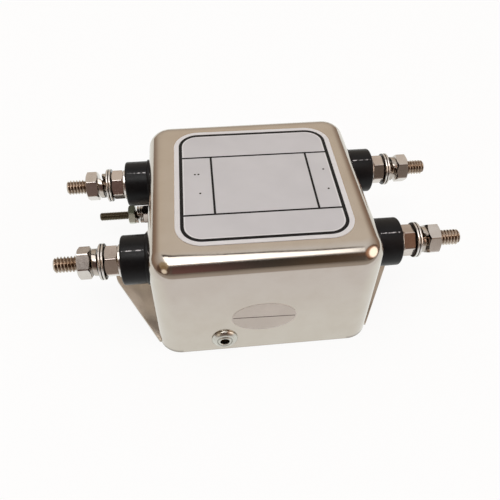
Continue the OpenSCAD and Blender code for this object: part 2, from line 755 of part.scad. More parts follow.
// A disc capacitor between an input tag and the ground tag, where the one at +Y stands nearer to both
module y_capacitor(sy) {
    mid = [y_cap_x, sy * y_cap_y, floor_z + y_cap_d / 2];
    inner = mid - [y_foot.x, 0, 0];
    tag = [-tag_face, sy * (stud_pitch / 2 + tag_side), tag_end_z];
    ground = [-ground_tag_face, ground_y - ground_tag_l + lead_d, ground_z];
    color([0.20, 0.42, 0.70]) translate(mid) rotate([90, 0, 0])
        cylinder(d = y_cap_d, h = y_cap_t, center = true);
    color(tin) {
        lead(mid + y_foot, [0, 0, lead_bend], tag, [-lead_arrive, 0, 0]);
        if (sy > 0) lead(inner, y_near_leave, ground - [0, 0, ground_lead_low], [-lead_arrive, 0, 0]);
        else lead(inner, y_far_leave, ground + [0, 0, ground_lead_high], [-lead_arrive, 0, 0]);
    }
}

module bleed_resistor() {
    color([0.40, 0.60, 0.66]) translate([resistor_x, 0, resistor_z]) rotate([90, 0, 0])
        cylinder(d = resistor_d, h = resistor_l, center = true);
    color(tin) for (sy = [-1, 1])
        lead([resistor_x, sy * resistor_l / 2, resistor_z], [0, sy * lead_bend, 0],
             [tag_face, sy * (stud_pitch / 2 - tag_side), tag_end_z - tag_side], [lead_arrive, 0, 0]);
}

// ---------------------------------------------------------------- assembly

can();
base_plate();
rivet(false);  // rivet_front
rivet(true);  // rivet_back
for (i = [0 : 3]) {
    insulator(i);
    inner_bush(i);
    solder_tag(i);
    stud(i);
    clamp_nut(i);
    flat_washers(i);
    terminal_split_washer(i);
    terminal_nut(i);
}
seat_washers();
ground_stud();
ground_tag();
ground_toothed_washer();
ground_washer(0);  // ground_seat_washer
ground_split(ground_lock_seat, ground_lock_turn);  // ground_lock_washer
ground_hex_nut(ground_clamp_seat, ground_clamp_turn);  // ground_clamp_nut
union() {  // ground_flat_washers
    ground_washer(ground_washer_seat);
    ground_washer(ground_washer_seat + ground_washer_t);
}
ground_split(ground_split_seat, ground_split_turn);  // ground_split_washer
ground_hex_nut(ground_nut_seat, ground_nut_turn);  // ground_nut
top_label();
inspection_sticker();
insulating_liner();
choke_core();
choke_divider();
winding_line();
winding_neutral();
x_capacitor(-1);  // x_capacitor_in
x_capacitor(1);  // x_capacitor_out
y_capacitor(1);  // y_capacitor_line
y_capacitor(-1);  // y_capacitor_neutral
bleed_resistor();
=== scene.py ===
# %% [markdown]
# # A line filter with stud terminals
# The real filter is a shallow can of nickel-plated steel with a choke and capacitors inside. Four M4 studs
# leave it through moulded insulators, and each carries a clamp nut, two flat washers, a spring washer and
# a terminal nut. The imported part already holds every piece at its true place. This lesson keeps those
# places and gives each visible piece the form and finish that a maker would recognise.

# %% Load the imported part
import math

import bmesh
import bpy
from mathutils import Matrix, Vector


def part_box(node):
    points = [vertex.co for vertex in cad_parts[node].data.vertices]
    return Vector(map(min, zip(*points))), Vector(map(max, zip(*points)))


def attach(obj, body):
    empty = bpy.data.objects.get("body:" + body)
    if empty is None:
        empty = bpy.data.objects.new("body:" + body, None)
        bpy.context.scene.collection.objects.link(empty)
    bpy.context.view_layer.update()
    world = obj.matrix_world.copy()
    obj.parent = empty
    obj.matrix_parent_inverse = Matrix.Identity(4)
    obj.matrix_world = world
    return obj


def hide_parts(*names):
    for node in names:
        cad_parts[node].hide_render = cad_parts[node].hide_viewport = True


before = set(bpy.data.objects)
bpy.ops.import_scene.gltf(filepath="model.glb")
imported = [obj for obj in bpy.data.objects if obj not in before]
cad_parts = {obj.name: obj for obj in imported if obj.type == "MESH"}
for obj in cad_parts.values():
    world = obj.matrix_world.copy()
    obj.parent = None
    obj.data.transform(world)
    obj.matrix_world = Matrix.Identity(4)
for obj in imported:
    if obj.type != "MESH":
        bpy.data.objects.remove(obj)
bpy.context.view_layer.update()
MM = 0.001
TERMINALS = ("line_in", "neutral_in", "line_out", "neutral_out")
STUD_BORE_R, GROUND_BORE_R = 2.15, 1.4  # bores of what slips over an M4 and an M2.5 stud

# %% [markdown]
# ## Finding places
# A terminal's pieces share one axis, so they are easiest to model round the Z axis and to move into place
# afterwards. A place is a matrix that stands local Z along the stud, outwards, with local X upright.
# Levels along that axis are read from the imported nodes, so nothing is typed twice.


# %% Places on the can
def outwards(node):
    """The place on the can's side where a terminal node's axis leaves it, with local Z outwards."""
    low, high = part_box(node)
    middle = (low + high) / 2
    side = 1 if middle.x > 0 else -1
    can_low, can_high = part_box("can")
    wall = can_high.x if side > 0 else can_low.x
    return Matrix(((0, 0, side, wall), (0, -side, 0, middle.y), (1, 0, 0, middle.z), (0, 0, 0, 1)))


def levels(node, place):
    """How far along its place's axis a node starts and ends, in mm."""
    inverse = place.inverted()
    heights = [(inverse @ v.co).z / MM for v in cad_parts[node].data.vertices]
    return min(heights), max(heights)


def reach(node, place):
    """A node's largest radius round its place's axis in mm, and the angle of a point there."""
    inverse = place.inverted()
    points = [inverse @ v.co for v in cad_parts[node].data.vertices]
    far = max(points, key=lambda p: p.x * p.x + p.y * p.y)
    return math.hypot(far.x, far.y) / MM, math.atan2(far.y, far.x)


place_of = {t: outwards("stud_" + t) for t in TERMINALS}
place_of["ground"] = outwards("ground_stud")
for name, place in place_of.items():
    print(name, "leaves the can at", [round(c / MM, 2) for c in place.translation])

# %% [markdown]
# ## Making pieces
# Most pieces here are turned or pressed. A turned piece is a short outline spun once round the axis. A
# pressed or cut edge on real metal is never quite sharp: a narrow bevel on it catches the light, which
# tells the eye that the piece is metal. Each finished piece keeps its object at the origin, because the
# export bakes it there.


# %% Helpers for shapes
def turned(outline, steps):
    """A closed outline of (radius, height) in mm, spun once round Z."""
    bm = bmesh.new()
    line = [bm.verts.new((r * MM, 0, z * MM)) for r, z in outline]
    edges = [bm.edges.new((a, b)) for a, b in zip(line, line[1:] + line[:1])]
    bmesh.ops.spin(bm, geom=line + edges, cent=(0, 0, 0), axis=(0, 0, 1), angle=math.tau, steps=steps,
                   use_merge=True)
    bmesh.ops.remove_doubles(bm, verts=bm.verts, dist=1e-7)
    bmesh.ops.recalc_face_normals(bm, faces=bm.faces)
    return bm


def block(bm, middle, size):
    """Add a block with its middle and its size in mm."""
    scale = Matrix.Diagonal((*[c * MM for c in size], 1))
    bmesh.ops.create_cube(bm, size=1, matrix=Matrix.Translation([c * MM for c in middle]) @ scale)
    return bm


def uprights(bm):
    """The upright edges of a block."""
    return [e for e in bm.edges if abs(e.verts[0].co.z - e.verts[1].co.z) > 0.005 * MM]


def bevelled(bm, edges, width, segments, clamp=False):
    """Round some edges over a width in mm."""
    bmesh.ops.bevel(bm, geom=edges, offset=width * MM, offset_type="OFFSET", segments=segments, profile=0.5,
                    affect="EDGES", clamp_overlap=clamp, material=-1)
    return bm


def round_edges(bm, width, segments, angle):
    """Bevel every edge that is sharper than the angle."""
    sharp = [e for e in bm.edges if len(e.link_faces) == 2 and e.calc_face_angle(0) > math.radians(angle)]
    return bevelled(bm, sharp, width, segments, clamp=True)


def merged_copy(node):
    """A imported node's mesh with its loose triangles merged and its flat faces made whole."""
    bm = bmesh.new()
    bm.from_mesh(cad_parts[node].data)
    bmesh.ops.remove_doubles(bm, verts=bm.verts, dist=1e-6)
    bmesh.ops.dissolve_limit(bm, angle_limit=math.radians(0.5), verts=bm.verts, edges=bm.edges)
    return bm


def turned_by(bm, angle):
    """Turn a piece round its axis."""
    bmesh.ops.rotate(bm, verts=bm.verts, cent=(0, 0, 0), matrix=Matrix.Rotation(angle, 3, "Z"))
    return bm


def gathered(bm, other, place=None):
    """Add another bmesh to this one, moved to a place where one is given."""
    if place is not None:
        bmesh.ops.transform(other, matrix=place, verts=other.verts)
    held = bpy.data.meshes.new("held")
    other.to_mesh(held)
    other.free()
    bm.from_mesh(held)
    bpy.data.meshes.remove(held)
    return bm


def with_painted_shade(bm, share_of):
    """Give each point a share of painted shade, from 0 to 1, by its radius, height and local X in mm."""
    layer = bm.verts.layers.float.get("painted_shade") or bm.verts.layers.float.new("painted_shade")
    for v in bm.verts:
        share = share_of(math.hypot(v.co.x, v.co.y) / MM, v.co.z / MM, v.co.x / MM)
        v[layer] = min(1.0, max(0.0, share))
    return bm


def finish_piece(bm, name, finish, replaces=(), place=None, smooth=35):
    """Turn a bmesh into a piece that rides with the part, smooth except at edges above an angle."""
    if place is not None:
        bmesh.ops.transform(bm, matrix=place, verts=bm.verts)
    mesh = bpy.data.meshes.new(name)
    bm.to_mesh(mesh)
    bm.free()
    mesh.shade_smooth()
    mesh.set_sharp_from_angle(angle=math.radians(smooth))
    piece = bpy.data.objects.new(name, mesh)
    bpy.context.scene.collection.objects.link(piece)
    mesh.materials.append(finish)
    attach(piece, "root")
    if replaces:
        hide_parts(*replaces)
    print(name, "faces:", len(mesh.polygons))
    return piece


# %% [markdown]
# ## Finishes
# Colours are written as sRGB hex, the way a colour picker shows them, and turned to linear by one function.
# A material's nodes are added by one small function that also links them, so a recipe reads from its
# pattern through its colour to its shader.


# %% Helpers for finishes
def linear(hex_colour):
    """An sRGB hex colour as linear RGBA."""
    channels = [int(hex_colour[i:i + 2], 16) / 255 for i in (1, 3, 5)]
    return (*[c / 12.92 if c <= 0.04045 else ((c + 0.055) / 1.055) ** 2.4 for c in channels], 1.0)


def add(tree, kind, inputs=None, **settings):
    """Add a node with its settings. Given as an input, a node or socket is linked and hex made linear."""
    made = tree.nodes.new(kind)
    for key, value in settings.items():
        setattr(made, key, value)
    for key, value in (inputs or {}).items():
        if isinstance(value, str):
            value = linear(value)
        if isinstance(value, bpy.types.Node):
            value = next(socket for socket in value.outputs if socket.enabled)
        if isinstance(value, bpy.types.NodeSocket):
            tree.links.new(value, made.inputs[key])
        else:
            made.inputs[key].default_value = value
    return made


def new_material(name):
    """An empty material, its node tree and its Object coordinates."""
    material = bpy.data.materials.new(name)
    material.use_nodes = True
    tree = material.node_tree
    tree.nodes.clear()
    return material, tree, add(tree, "ShaderNodeTexCoord").outputs["Object"]


def ramp(tree, factor, stops):
    """A colour ramp with (position, colour) stops; a colour is sRGB hex or linear RGBA."""
    made = add(tree, "ShaderNodeValToRGB", {"Fac": factor})
    while len(made.color_ramp.elements) < len(stops):
        made.color_ramp.elements.new(0.5)
    for element, (position, colour) in zip(made.color_ramp.elements, stops):
        element.position = position
        element.color = linear(colour) if isinstance(colour, str) else colour
    return made


def skin(tree, place, grain_mm, detail, gain, roughness, spread, bump):
    """A surface's fine grain, as two nodes: its roughness, which drifts by a spread, and its relief."""
    grain = add(tree, "ShaderNodeTexNoise", {"Vector": place, "Scale": 1 / (grain_mm * MM),
                                             "Detail": detail, "Roughness": gain})
    rough = add(tree, "ShaderNodeMapRange", {"Value": grain, "From Min": 0.3, "From Max": 0.7,
                                             "To Min": roughness - spread, "To Max": roughness + spread})
    relief = add(tree, "ShaderNodeBump", {"Height": grain, "Strength": bump, "Distance": 0.05 * MM})
    return rough, relief


# %% [markdown]
# ### Plated metal
# Bright nickel is a warm, slightly yellow mirror. Over drawn steel it shows the sheet's faint orange peel,
# a millimetre or two across, and a haze where fingers have been. The same recipe at other colours and
# roughness serves the nuts, studs and washers. Painted shade follows the shape of a piece, so the piece
# itself says where it falls: a share on each of its points mixes in a darker painted shade colour, in a
# thread's root, between two washers or along the can's foot for instance.


# %% Recipe for plated metal
def plated(name, colour, shade, roughness, spread, grain_mm, bump, peel_mm=0.0, peel=0.0, painted_shade_colour="#2e2622"):
    """Metal whose colour drifts to a darker shade, with a fine grain and a darker painted shade colour where
    a piece's points carry painted shade.
    """
    material, tree, place = new_material(name)
    cloud = add(tree, "ShaderNodeTexNoise", {"Vector": place, "Scale": 1 / (7 * MM), "Detail": 4.0,
                                             "Roughness": 0.6})
    unshaded = ramp(tree, cloud, [(0.30, shade), (0.62, colour)])
    # Painted shade: a share on each point mixes in a darker colour where shade falls
    painted_shade = add(tree, "ShaderNodeAttribute", attribute_name="painted_shade").outputs["Fac"]
    base = add(tree, "ShaderNodeMix", {"Factor": painted_shade, 6: unshaded, 7: painted_shade_colour}, data_type="RGBA")
    rough, relief = skin(tree, place, grain_mm, 3.0, 0.7, roughness, spread, bump)
    if peel:
        waves = add(tree, "ShaderNodeTexNoise", {"Vector": place, "Scale": 1 / (peel_mm * MM),
                                                 "Detail": 1.0})
        relief = add(tree, "ShaderNodeBump", {"Height": waves, "Strength": peel, "Distance": 0.4 * MM,
                                              "Normal": relief})
    shader = add(tree, "ShaderNodeBsdfPrincipled", {"Base Color": base, "Metallic": 1.0, "Roughness": rough,
                                                    "Normal": relief})
    add(tree, "ShaderNodeOutputMaterial", {"Surface": shader})
    return material


# Bright nickel on deep-drawn steel: the eye gets soft, warm reflections with a clean edge
can_nickel = plated("bright_nickel_drawn_steel", "#c4bcb3", "#c0b7ad", 0.13, 0.02, 0.5, 0.02, 22.0, 0.05)
# The base plate has the same plating on a duller sheet
plate_nickel = plated("nickel_sheet_steel", "#bcb1a5", "#aa9d8f", 0.32, 0.03, 0.5, 0.03)
# Nuts are plated in a barrel, so their flats are duller and a little brown
nut_nickel = plated("barrel_nickel_nut", "#cbc1bb", "#b9aca5", 0.16, 0.03, 0.6, 0.05)
nut_bright = plated("bright_barrel_nickel_nut", "#d0cac5", "#bfb6b0", 0.17, 0.03, 0.6, 0.05)
thread_nickel = plated("rolled_thread_nickel", "#d0c5ba", "#b8a999", 0.15, 0.03, 0.4, 0.03, painted_shade_colour="#6a5343")
washer_nickel = plated("pressed_washer_nickel", "#dedad7", "#cbc5c0", 0.20, 0.03, 0.5, 0.05, painted_shade_colour="#15110f")
spring_nickel = plated("spring_steel_nickel", "#c0b8b0", "#a59c94", 0.16, 0.04, 0.5, 0.06)
ground_brass = plated("yellow_passivated_stud", "#9a9077", "#7b715a", 0.34, 0.06, 0.3, 0.10)
ground_zinc = plated("dull_zinc_nut", "#c6c7bb", "#b0b1a3", 0.24, 0.05, 0.3, 0.08, painted_shade_colour="#5d6154")
rivet_aluminium = plated("bright_aluminium_rivet", "#cfcdc6", "#b7b4ac", 0.27, 0.05, 0.3, 0.06,
                         painted_shade_colour="#4a463e")
tin_plate = plated("tin_plated_brass", "#cfcabd", "#b8b2a4", 0.35, 0.08, 0.4, 0.10)

# %% [markdown]
# ### Plastics and print
# The insulators are black phenolic, compression moulded: a hard, slightly glossy plastic with flow marks
# and a fine pebble from the mould. The label is satin silver polyester under a printed frame, and the
# oval sticker is thin, clear grey film.


# %% Recipe for plastics and films
def moulded(name, colour, shade, roughness, spread, grain_mm, bump, metallic=0.0, cloud_mm=5.0,
            gloss=0.5, drift=0.15):
    """A non-metal whose shade drifts, more abruptly for a small drift, under a fine pebble."""
    material, tree, place = new_material(name)
    cloud = add(tree, "ShaderNodeTexNoise", {"Vector": place, "Scale": 1 / (cloud_mm * MM), "Detail": 3.0})
    base = ramp(tree, cloud, [(0.5 - drift, shade), (0.5 + drift, colour)])
    rough, relief = skin(tree, place, grain_mm, 2.0, 0.6, roughness, spread, bump)
    shader = add(tree, "ShaderNodeBsdfPrincipled", {"Base Color": base, "Metallic": metallic, "IOR": 1.5,
                                                    "Specular IOR Level": gloss, "Roughness": rough,
                                                    "Normal": relief})
    add(tree, "ShaderNodeOutputMaterial", {"Surface": shader})
    return material


phenolic = moulded("black_phenolic", "#141417", "#0e0e10", 0.36, 0.05, 0.6, 0.10, gloss=0.17)
# The pale, broken line along each barrel's flash is a painted highlight of the ceiling's light panel
phenolic_painted_highlight = moulded("phenolic_flash_painted_highlight", "#c4c4cb", "#17171a", 0.35, 0.05, 0.3, 0.10, cloud_mm=0.8,
                         drift=0.06)
silver_film = moulded("satin_silver_polyester", "#d8dae0", "#d4d6dc", 0.42, 0.04, 0.25, 0.05, 0.15, 9.0)
silver_field = moulded("silver_grey_label_field", "#c5c7ce", "#c0c2c9", 0.40, 0.04, 0.25, 0.05, 0.15, 9.0)
print_ink = moulded("black_label_ink", "#0d0d0f", "#131316", 0.45, 0.05, 0.2, 0.10, gloss=0.2)
sticker_film = moulded("grey_polyester_sticker", "#c5bfba", "#c0bab5", 0.33, 0.05, 0.3, 0.04, 0.3)
sticker_ink = moulded("brown_grey_sticker_ink", "#4f4541", "#5a504b", 0.45, 0.05, 0.2, 0.10)
pressboard = moulded("electrical_pressboard", "#c9b183", "#b89d6c", 0.75, 0.08, 0.3, 0.40)
ferrite_epoxy = moulded("green_epoxy_on_ferrite", "#2f5c44", "#28513b", 0.38, 0.05, 0.8, 0.25)
polyamide = moulded("natural_polyamide", "#dcd6c4", "#d2cbb6", 0.45, 0.05, 0.4, 0.10)
capacitor_yellow = moulded("yellow_capacitor_case", "#d8b53a", "#cba52f", 0.30, 0.05, 0.5, 0.12)
capacitor_blue = moulded("blue_capacitor_epoxy", "#2c63a8", "#25569a", 0.35, 0.05, 0.8, 0.20)
resistor_lacquer = moulded("resistor_lacquer", "#6a98a5", "#5c8a98", 0.35, 0.05, 0.5, 0.15)
copper = plated("enamelled_copper_wire", "#b5622f", "#9a4e22", 0.24, 0.04, 0.5, 0.05)

# %% [markdown]
# ## The can
# The real can is drawn from one disc of sheet in a press, so its corners and its top edge are generous
# radii and its mouth is cut square. A cube whose upright edges are bevelled first and whose top rim is
# bevelled next has the same double-curved corners. A narrow inset on each flat keeps the shading there
# truly flat right up to the radius.

# %% Draw the can
CORNER_R, TOP_R, WALL, FLAT_INSET = 6.0, 4.6, 0.6, 0.3
low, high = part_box("can")
size = high - low
can = bmesh.new()
whole = Matrix.Translation((low + high) / 2) @ Matrix.Diagonal((*size, 1))
bmesh.ops.create_cube(can, size=1, matrix=whole)
bevelled(can, uprights(can), CORNER_R, 20)
bevelled(can, [e for e in can.edges if all(abs(v.co.z - high.z) < 1e-6 for v in e.verts)], TOP_R, 12)
bottom = [f for f in can.faces if f.normal.z < -0.9]
bmesh.ops.delete(can, geom=bottom, context="FACES_ONLY")
flats = [f for f in can.faces if f.calc_area() > (15 * MM) ** 2]  # far larger than any face of a radius
bmesh.ops.inset_individual(can, faces=flats, thickness=FLAT_INSET * MM, depth=0.0)
print("flats kept flat:", len(flats))

# %% [markdown]
# The ears leave the can through shallow notches in its side edges. Cutting the shell at the notch's top
# and ends and deleting what lies between makes them. The shell gets its wall thickness last.

# %% Notch it and give it its wall
NOTCH_Z, NOTCH_Y = 1.05, 23.9
CUTS = (((0, 0, NOTCH_Z), (0, 0, 1)), ((0, NOTCH_Y, 0), (0, 1, 0)), ((0, -NOTCH_Y, 0), (0, 1, 0)))
for point, normal in CUTS:
    bmesh.ops.bisect_plane(can, geom=can.verts[:] + can.edges[:] + can.faces[:], dist=1e-7,
                           plane_co=Vector(point) * MM, plane_no=normal)
notch = [f for f in can.faces if f.calc_center_median().z < NOTCH_Z * MM
         and abs(f.calc_center_median().y) < NOTCH_Y * MM and abs(f.calc_center_median().x) > size.x * 0.4]
bmesh.ops.delete(can, geom=notch, context="FACES")
bmesh.ops.recalc_face_normals(can, faces=can.faces)
bmesh.ops.solidify(can, geom=can.faces[:], thickness=WALL * MM)
# A thin painted shade darkens the can's foot, where it stands on the floor
with_painted_shade(can, lambda r, z, up: 0.55 if z < 0.05 else 0.0)
finish_piece(can, "can_shell", can_nickel, ["can"], smooth=40)

# %% [markdown]
# ## Insulators
# Each insulator is one moulding: a plain barrel with a small radius on its free edge and a thin rim where
# it seats on the can. Its mould parts round the rim, so that edge is crisp. Spinning its outline is the
# natural way to make it. The inner end is the spigot that fills the hole in the can.


# %% Turn the insulators
def arc(centre_r, centre_z, radius, start, end, steps=5):
    """Points of an arc in the outline's plane, from one angle in degrees to another."""
    angles = [math.radians(start + (end - start) * i / steps) for i in range(steps + 1)]
    return [(centre_r + radius * math.cos(a), centre_z + radius * math.sin(a)) for a in angles]


SPIGOT_R, EDGE_R, RIM, RIM_T = 4.0, 0.5, 0.35, 0.7
for t in TERMINALS:
    inner, outer = levels("insulator_" + t, place_of[t])
    rim_r = reach("insulator_" + t, place_of[t])[0]
    barrel_r = rim_r - RIM
    # From the bore along the spigot and the rim, round the free edge, and back over a sunk ring
    outline = [(STUD_BORE_R, inner), (SPIGOT_R, inner), (SPIGOT_R, 0.0), (rim_r, 0.0),
               (rim_r, RIM_T - 0.15), (rim_r - 0.1, RIM_T), (barrel_r + 0.1, RIM_T),
               (barrel_r, RIM_T + 0.1),
               *arc(barrel_r - EDGE_R, outer - EDGE_R, EDGE_R, 0, 90),
               (3.1, outer), (3.0, outer - 0.15), (STUD_BORE_R, outer - 0.15)]
    finish_piece(turned(outline, 96), "insulator_body_" + t, phenolic, ["insulator_" + t],
                 place_of[t])

# %% [markdown]
# Each moulding left its tool with a thin line of flash along the barrel, on the side towards the front
# and the top, and the line was filed nearly flush. A bevelled strip lies along it, and its pale, broken
# colour is a painted highlight of the ceiling's light panel.

# %% File the flash, with its painted highlight
FLASH_T, FLASH_W, FLASH_TURN = 0.08, 0.28, math.radians(23)
for t in TERMINALS:
    outer = levels("insulator_" + t, place_of[t])[1]
    barrel_r = reach("insulator_" + t, place_of[t])[0] - RIM
    start, end = RIM_T + 0.3, outer - EDGE_R - 0.1
    strip = block(bmesh.new(), (barrel_r - 0.01, 0, (start + end) / 2), (FLASH_T, FLASH_W, end - start))
    round_edges(strip, 0.02, 2, 25)
    side = 1 if place_of[t].translation.x > 0 else -1
    turned_by(strip, FLASH_TURN * side)
    # The strip's pale finish is a painted highlight
    finish_piece(strip, "insulator_flash_painted_highlight_" + t, phenolic_painted_highlight, (), place_of[t])

# %% [markdown]
# ## Hexagon nuts
# A nut is cold formed: six flats, and a 30 degree chamfer turned on both faces, which leaves a curved line
# on each flat. The outline of a hexagon is a circle pushed out to the flats. Each further ring is extruded
# from the last and set to its radius and height, so the curve of the chamfer comes by itself: the further
# a point is from the axis, the more the cone has taken off it.


# %% Form a nut
def hexagon_radius(angle, across_flats):
    """How far a hexagon with a corner at angle 0 reaches at another angle."""
    within = (angle + math.pi / 6) % (math.pi / 3) - math.pi / 6
    return across_flats / 2 / math.cos(math.pi / 6 - abs(within))


def next_ring(bm, edges, radius_of, height_of):
    """Extrude a ring of edges and set each new point's radius and height, in mm."""
    made = bmesh.ops.extrude_edge_only(bm, edges=edges)["geom"]
    for v in (g for g in made if isinstance(g, bmesh.types.BMVert)):
        angle = math.atan2(v.co.y, v.co.x)
        r = radius_of(angle) * MM
        v.co = (r * math.cos(angle), r * math.sin(angle), height_of(angle) * MM)
    return [g for g in made if isinstance(g, bmesh.types.BMEdge)]


def hex_nut(across_flats, bottom, top, bore_r, edge=0.14):
    """A chamfered nut with countersunk bore between two heights, with a corner on +X."""
    face_r, sink = across_flats / 2 * 0.95, 0.45
    sink_r = bore_r + sink

    def outline(a):
        return hexagon_radius(a, across_flats)

    def drop(a):
        return (outline(a) - face_r) * math.tan(math.radians(30))

    bm = bmesh.new()
    bmesh.ops.create_circle(bm, segments=72, radius=MM)
    for v in bm.verts:
        a = math.atan2(v.co.y, v.co.x)
        v.co = (outline(a) * MM * math.cos(a), outline(a) * MM * math.sin(a), (bottom + drop(a)) * MM)
    start = bm.edges[:]
    ring = next_ring(bm, start, outline, lambda a: top - drop(a))
    for radius, height in ((face_r, top), (sink_r, top), (bore_r, top - sink)):
        ring = next_ring(bm, ring, lambda a: radius, lambda a: height)
    lower = start
    for radius, height in ((face_r, bottom), (sink_r, bottom), (bore_r, bottom + sink)):
        lower = next_ring(bm, lower, lambda a: radius, lambda a: height)
    bmesh.ops.bridge_loops(bm, edges=ring + lower)
    bmesh.ops.recalc_face_normals(bm, faces=bm.faces)
    corner_r = across_flats * 0.56 * MM  # only the six upright edges lie further out than this
    corners = [e for e in bm.edges if len(e.link_faces) == 2 and e.calc_face_angle(0) > math.radians(45)
               and all(math.hypot(v.co.x, v.co.y) > corner_r for v in e.verts)]
    return bevelled(bm, corners, edge, 3, clamp=True)


# %% [markdown]
# A clamp nut holds each stud against its insulator and a terminal nut closes the stack. Each formed nut
# takes its size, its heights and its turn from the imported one. The terminal nuts see less tool wear before
# the customer fits a wire, so their nickel is a little brighter.

# %% Put the nuts on the studs
NUT_BORE_R = 1.7  # the M4 thread's minor radius
for kind in ("clamp_nut_", "terminal_nut_"):
    for t in TERMINALS:
        bottom, top = levels(kind + t, place_of[t])
        corner, angle = reach(kind + t, place_of[t])
        if kind + t == "terminal_nut_neutral_in":
            angle -= math.radians(3.3)  # a little further round, out of the light panel's glare
        nut = turned_by(hex_nut(corner * math.sqrt(3), bottom, top, NUT_BORE_R), angle)
        finish = nut_bright if kind == "terminal_nut_" else nut_nickel
        finish_piece(nut, kind + t + "_formed", finish, [kind + t], place_of[t], 25)

# %% [markdown]
# ## Studs
# A rolled thread has a rounded crest and root, and its ends run out over a chamfer. One pitch of the
# thread's outline, spun many turns while it climbs one pitch a turn, makes the whole helix. The points
# near the tip are then drawn in under the chamfer's cone, and the end is closed. A painted shade darkens
# the thread's root, and its crests keep the plain plated colour.


# %% Roll a thread
def rolled_rod(major, minor, pitch, start, end, chamfer, steps=28):
    """A threaded rod along Z from start to end in mm, with a chamfered tip."""
    bm = bmesh.new()
    crest, root = major / 2, minor / 2
    tooth = [(root, 0.0), (root + 0.03, 0.1), (crest - 0.14, 0.35), (crest - 0.03, 0.42), (crest, 0.5),
             (crest - 0.03, 0.58), (crest - 0.14, 0.65), (root + 0.03, 0.9), (root, 1.0)]
    line = [bm.verts.new((r * MM, 0, (start - pitch + z * pitch) * MM)) for r, z in tooth]
    edges = [bm.edges.new(pair) for pair in zip(line, line[1:])]
    turns = math.ceil((end - start) / pitch) + 1
    bmesh.ops.spin(bm, geom=line + edges, cent=(0, 0, 0), axis=(0, 0, 1), angle=math.tau * turns,
                   steps=steps * turns, dvec=(0, 0, pitch * MM / steps))
    bmesh.ops.remove_doubles(bm, verts=bm.verts, dist=2e-6)
    for height, side in ((start, -1), (end, 1)):
        cut = bmesh.ops.bisect_plane(bm, geom=bm.verts[:] + bm.edges[:] + bm.faces[:], dist=1e-8,
                                     plane_co=(0, 0, height * MM), plane_no=(0, 0, side), clear_outer=True)
        rim = [g for g in cut["geom_cut"] if isinstance(g, bmesh.types.BMEdge)]
        bmesh.ops.edgeloop_fill(bm, edges=rim)
    for v in bm.verts:
        r = math.hypot(v.co.x, v.co.y)
        allowed = (crest - chamfer + (end - v.co.z / MM)) * MM
        if r > allowed:
            v.co.x, v.co.y = v.co.x * allowed / r, v.co.y * allowed / r
    bmesh.ops.recalc_face_normals(bm, faces=bm.faces)
    # Painted shade: full in the root, none on the outer flanks and crests, and a little on the tip's end
    return with_painted_shade(bm, lambda r, z, up: 1.0 - (r - root) / (crest - root) * 1.7 if z < end - 0.05 else 0.35)


def with_head(bm, across_flats, seat, height, sides):
    """Add a head below the rod: a prism with that many sides."""
    corner = across_flats / 2 / math.cos(math.pi / sides)
    middle = Matrix.Translation((0, 0, (seat - height / 2) * MM))
    bmesh.ops.create_cone(bm, cap_ends=True, segments=sides, radius1=corner * MM, radius2=corner * MM,
                          depth=height * MM, matrix=middle)
    return bm


# %% [markdown]
# An M4 stud has a pitch of 0.7 mm. From arm's length its crests would run together into grey, so they are
# drawn at 0.8 mm with broad, rounded tops, as coarse as they need to be to read as a thread. Inside the
# can each stud ends in a hexagon head, on which its solder tag lies.

# %% Thread the studs
MAJOR_D, MINOR_D, PITCH, TIP_CHAMFER, HEAD_AF = 3.95, 3.0, 0.80, 0.45, 7.0
for t in TERMINALS:
    bottom, tip = levels("stud_" + t, place_of[t])
    seat = levels("solder_tag_" + t, place_of[t])[0]
    rod = rolled_rod(MAJOR_D, MINOR_D, PITCH, seat, tip, TIP_CHAMFER)
    with_head(rod, HEAD_AF, seat, seat - bottom, 6)
    finish_piece(rod, "stud_threaded_" + t, thread_nickel, ["stud_" + t], place_of[t], 50)

# %% [markdown]
# ## Washers
# A flat washer is punched, so its rim edges are rolled over, one a little more than the other. The two
# washers of a pair lie with their rounder edges outwards, and a painted shade darkens the seam between
# them and their faces against the neighbouring pieces. Spinning the section once round makes each.


# %% Punch the flat washers
def washer_outline(inner, outer, bottom, top, roll, rolled_up):
    """A washer's section with a large radius on one outer edge and a small one on the other."""
    small = 0.05
    up, down = (roll, roll * 0.85) if rolled_up else (roll * 0.85, roll)
    return [(inner, bottom + small), (inner + small, bottom),
            *arc(outer - down, bottom + down, down, -90, 0, 4), *arc(outer - up, top - up, up, 0, 90, 4),
            (inner + small, top), (inner, top - small)]


def washer_pair(node, place, inner, outer, roll, fade, steps):
    """Two washers with a thin seam between them, with painted shade that fades out within a distance from
    each face.
    """
    bottom, top = levels(node, place)
    middle, seam = (bottom + top) / 2, 0.02
    pair = turned(washer_outline(inner, outer, bottom, middle - seam, roll, False), steps)
    gathered(pair, turned(washer_outline(inner, outer, middle + seam, top, roll, True), steps))
    # Painted shade at the seam and at both outer faces, fading out within the given distance
    return with_painted_shade(pair, lambda r, z, up: 1.3 - min(abs(z - bottom), abs(z - middle), abs(z - top)) / fade)


for t in TERMINALS:
    outer = reach("flat_washers_" + t, place_of[t])[0]
    pair = washer_pair("flat_washers_" + t, place_of[t], STUD_BORE_R, outer, 0.34, 0.13, 80)
    finish_piece(pair, "flat_washers_pair_" + t, washer_nickel, ["flat_washers_" + t],
                 place_of[t])

# %% [markdown]
# A spring washer is one turn of square wire, cut through at a slant, whose ends stand apart until the nut
# is tight. A square face spun almost once round while it climbs is the same form, and a small bevel gives
# the wire its rolled corners.

# %% Wind the spring washers
WIRE_T, GROUND_WIRE_T = 1.2, 0.6


